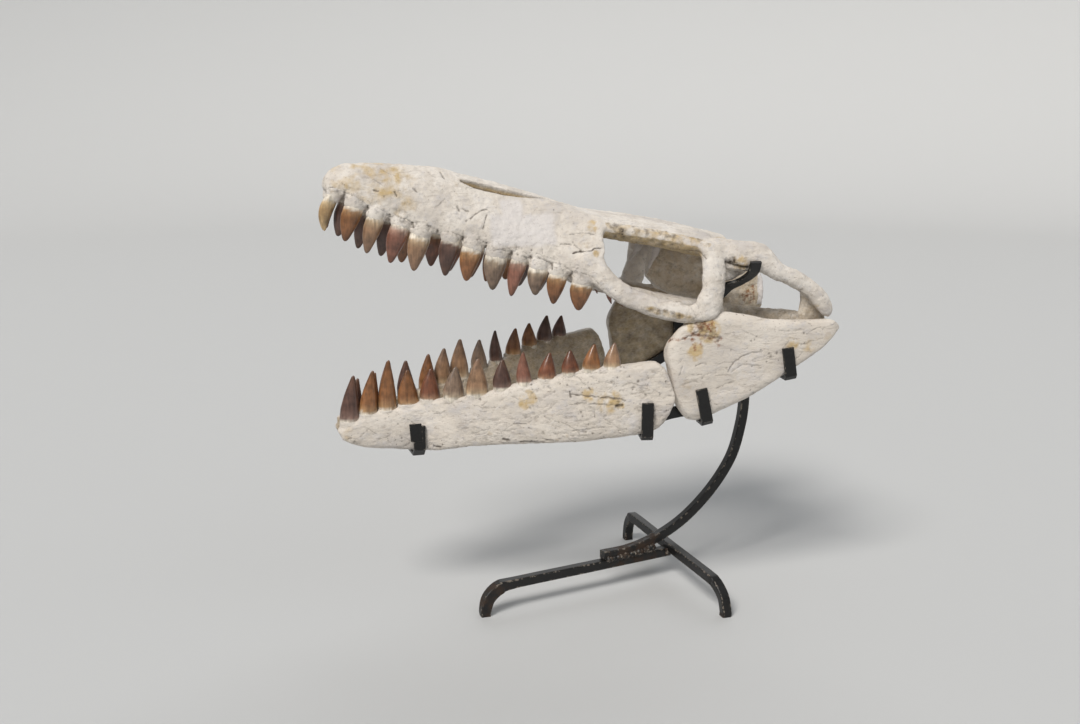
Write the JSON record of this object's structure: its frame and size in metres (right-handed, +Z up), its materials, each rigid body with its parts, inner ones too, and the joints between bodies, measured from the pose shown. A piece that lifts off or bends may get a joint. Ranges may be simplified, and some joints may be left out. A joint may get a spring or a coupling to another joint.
{
  "type": "mounted mosasaur skull",
  "caption": "Life-size fossil mosasaur skull with open jaws and sharp conical teeth, held by clips and straps on a bent and welded iron floor stand.",
  "frame": {"origin": "middle of the bounding box in X and Y, on the floor that the stand's three feet rest on", "axes": "-X towards the tip of the snout, +X towards the back of the head, -Y towards the animal's left side, +Z up"},
  "size_m": [0.633, 0.321, 0.581],
  "materials": {
    "bone": "fossil bone and pale plaster, dry and slightly pitted, with ochre stains",
    "painted_iron": "old black paint on iron bar, rubbed and rusty at the edges"
  },
  "bodies": {
    "root": {"braincase": "bone", "dentary_left": "bone", "dentary_right": "bone", "jugal_left": "bone", "jugal_right": "bone", "postorbital_left": "bone", "postorbital_right": "bone", "pterygoid_left": "bone", "pterygoid_right": "bone", "quadrate_left": "bone", "quadrate_right": "bone", "rear_jaw_left": "bone", "rear_jaw_right": "bone", "skull_roof": "bone", "snout": "bone", "stand_cradle": "painted_iron", "stand_crossbar": "painted_iron", "stand_crossbeam": "painted_iron", "stand_dentary_clip_left": "painted_iron", "stand_dentary_clip_right": "painted_iron", "stand_heel_clip_left": "painted_iron", "stand_heel_clip_right": "painted_iron", "stand_leg": "painted_iron", "stand_rail_left": "painted_iron", "stand_rail_right": "painted_iron", "stand_rear_jaw_clip_left": "painted_iron", "stand_rear_jaw_clip_right": "painted_iron", "stand_skull_strap_left": "painted_iron", "stand_skull_strap_right": "painted_iron", "stand_upright": "painted_iron", "temporal_arch_left": "bone", "temporal_arch_right": "bone"}
  },
  "joints": []
}
